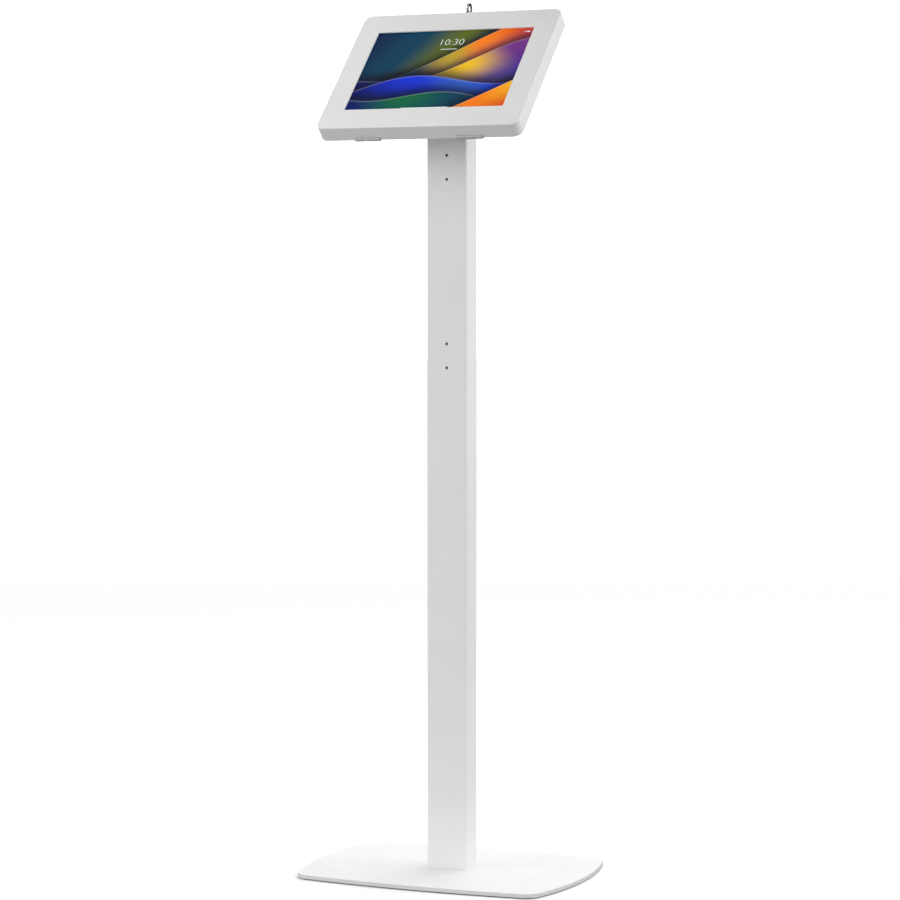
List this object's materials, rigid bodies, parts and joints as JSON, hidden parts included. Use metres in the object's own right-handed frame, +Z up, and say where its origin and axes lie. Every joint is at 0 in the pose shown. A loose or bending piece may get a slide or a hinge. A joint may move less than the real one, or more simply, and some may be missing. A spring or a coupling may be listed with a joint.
{
  "type": "touchscreen kiosk",
  "caption": "Free-standing tablet kiosk: flat floor plate, square-cornered tube post and a tilted locking enclosure that frames a landscape touchscreen.",
  "frame": {"origin": "on the floor under the middle of the base plate, on the post's axis", "axes": "+Z up the post, the screen faces -Y and upward, +X to the viewer's right when facing the screen"},
  "size_m": [0.387, 0.2876, 1.1923],
  "materials": {
    "painted_steel": "light grey powder coat, fine satin texture",
    "plated_steel": "zinc plated",
    "nickel": "polished nickel plate",
    "black_rubber": "matt black rubber",
    "black_plastic": "moulded black plastic",
    "foam": "dark grey foam",
    "anodised_aluminium": "bead-blasted and anodised",
    "cover_glass": "polished",
    "display": "lit display panel",
    "camera_glass": "dark lens cover",
    "cell_wrap": "black foil",
    "circuit_board": "green solder mask"
  },
  "bodies": {
    "stand": {"base_plate": "painted_steel", "post_channel": "painted_steel", "post_rear_strip": "painted_steel", "head_plate": "painted_steel", "back_plate": "painted_steel", "frame_hinge_leaf_left": "painted_steel", "frame_hinge_leaf_right": "painted_steel", "base_screws": "plated_steel", "post_foot_plate": "plated_steel", "accessory_nuts": "plated_steel", "head_bolts": "plated_steel", "head_nuts": "plated_steel", "holder_screws": "plated_steel", "leaf_rivets": "plated_steel", "hinge_pin_left": "plated_steel", "hinge_pin_right": "plated_steel", "lock_strike": "plated_steel", "strike_screws": "plated_steel", "strike_nuts": "plated_steel", "base_feet": "black_rubber", "cable_exit_grommet": "black_rubber", "cable_pass_grommet": "black_rubber", "tablet_holder_lower_left": "black_plastic", "tablet_holder_lower_right": "black_plastic", "tablet_holder_upper_left": "black_plastic", "tablet_holder_upper_right": "black_plastic", "tablet_pads": "foam", "tablet_body": "anodised_aluminium", "tablet_glass": "cover_glass", "display_panel": "display", "rear_camera": "camera_glass", "tablet_batteries": "cell_wrap", "tablet_board": "circuit_board"},
    "cover": {"front_cover": "painted_steel", "window_gasket": "black_rubber", "cover_hinge_leaf_left": "painted_steel", "cover_hinge_leaf_right": "painted_steel", "lock_body": "nickel", "lock_nut": "nickel"},
    "plug": {"lock_plug": "nickel", "lock_cam": "nickel", "cam_screw": "nickel"},
    "key": {"key": "nickel"},
    "power_button": {"power_button": "anodised_aluminium"},
    "volume_up_button": {"volume_up_button": "anodised_aluminium"},
    "volume_down_button": {"volume_down_button": "anodised_aluminium"}
  },
  "joints": [
    {"name": "cover_hinge", "type": "hinge", "parent": "stand", "child": "cover", "pos_m": [0, -0.11038, 0.99888], "axis": [1, 0, 0], "range_deg": [0, 120]},
    {"name": "lock_turn", "type": "hinge", "parent": "cover", "child": "plug", "pos_m": [0, 0.04688, 1.17014], "axis": [0, -0.7071, -0.7071], "range_deg": [0, 90]},
    {"name": "key_slide", "type": "slide", "parent": "plug", "child": "key", "axis": [0, 0.7071, 0.7071], "range_m": [0, 0.025]},
    {"name": "power_button_press", "type": "slide", "parent": "stand", "child": "power_button", "axis": [-1, 0, 0], "range_m": [0, 0.0003], "stiffness_N_per_m": 900, "springref_m": -0.0003},
    {"name": "volume_up_press", "type": "slide", "parent": "stand", "child": "volume_up_button", "axis": [0, -0.7071, -0.7071], "range_m": [0, 0.0003], "stiffness_N_per_m": 900, "springref_m": -0.0003},
    {"name": "volume_down_press", "type": "slide", "parent": "stand", "child": "volume_down_button", "axis": [0, -0.7071, -0.7071], "range_m": [0, 0.0003], "stiffness_N_per_m": 900, "springref_m": -0.0003}
  ]
}
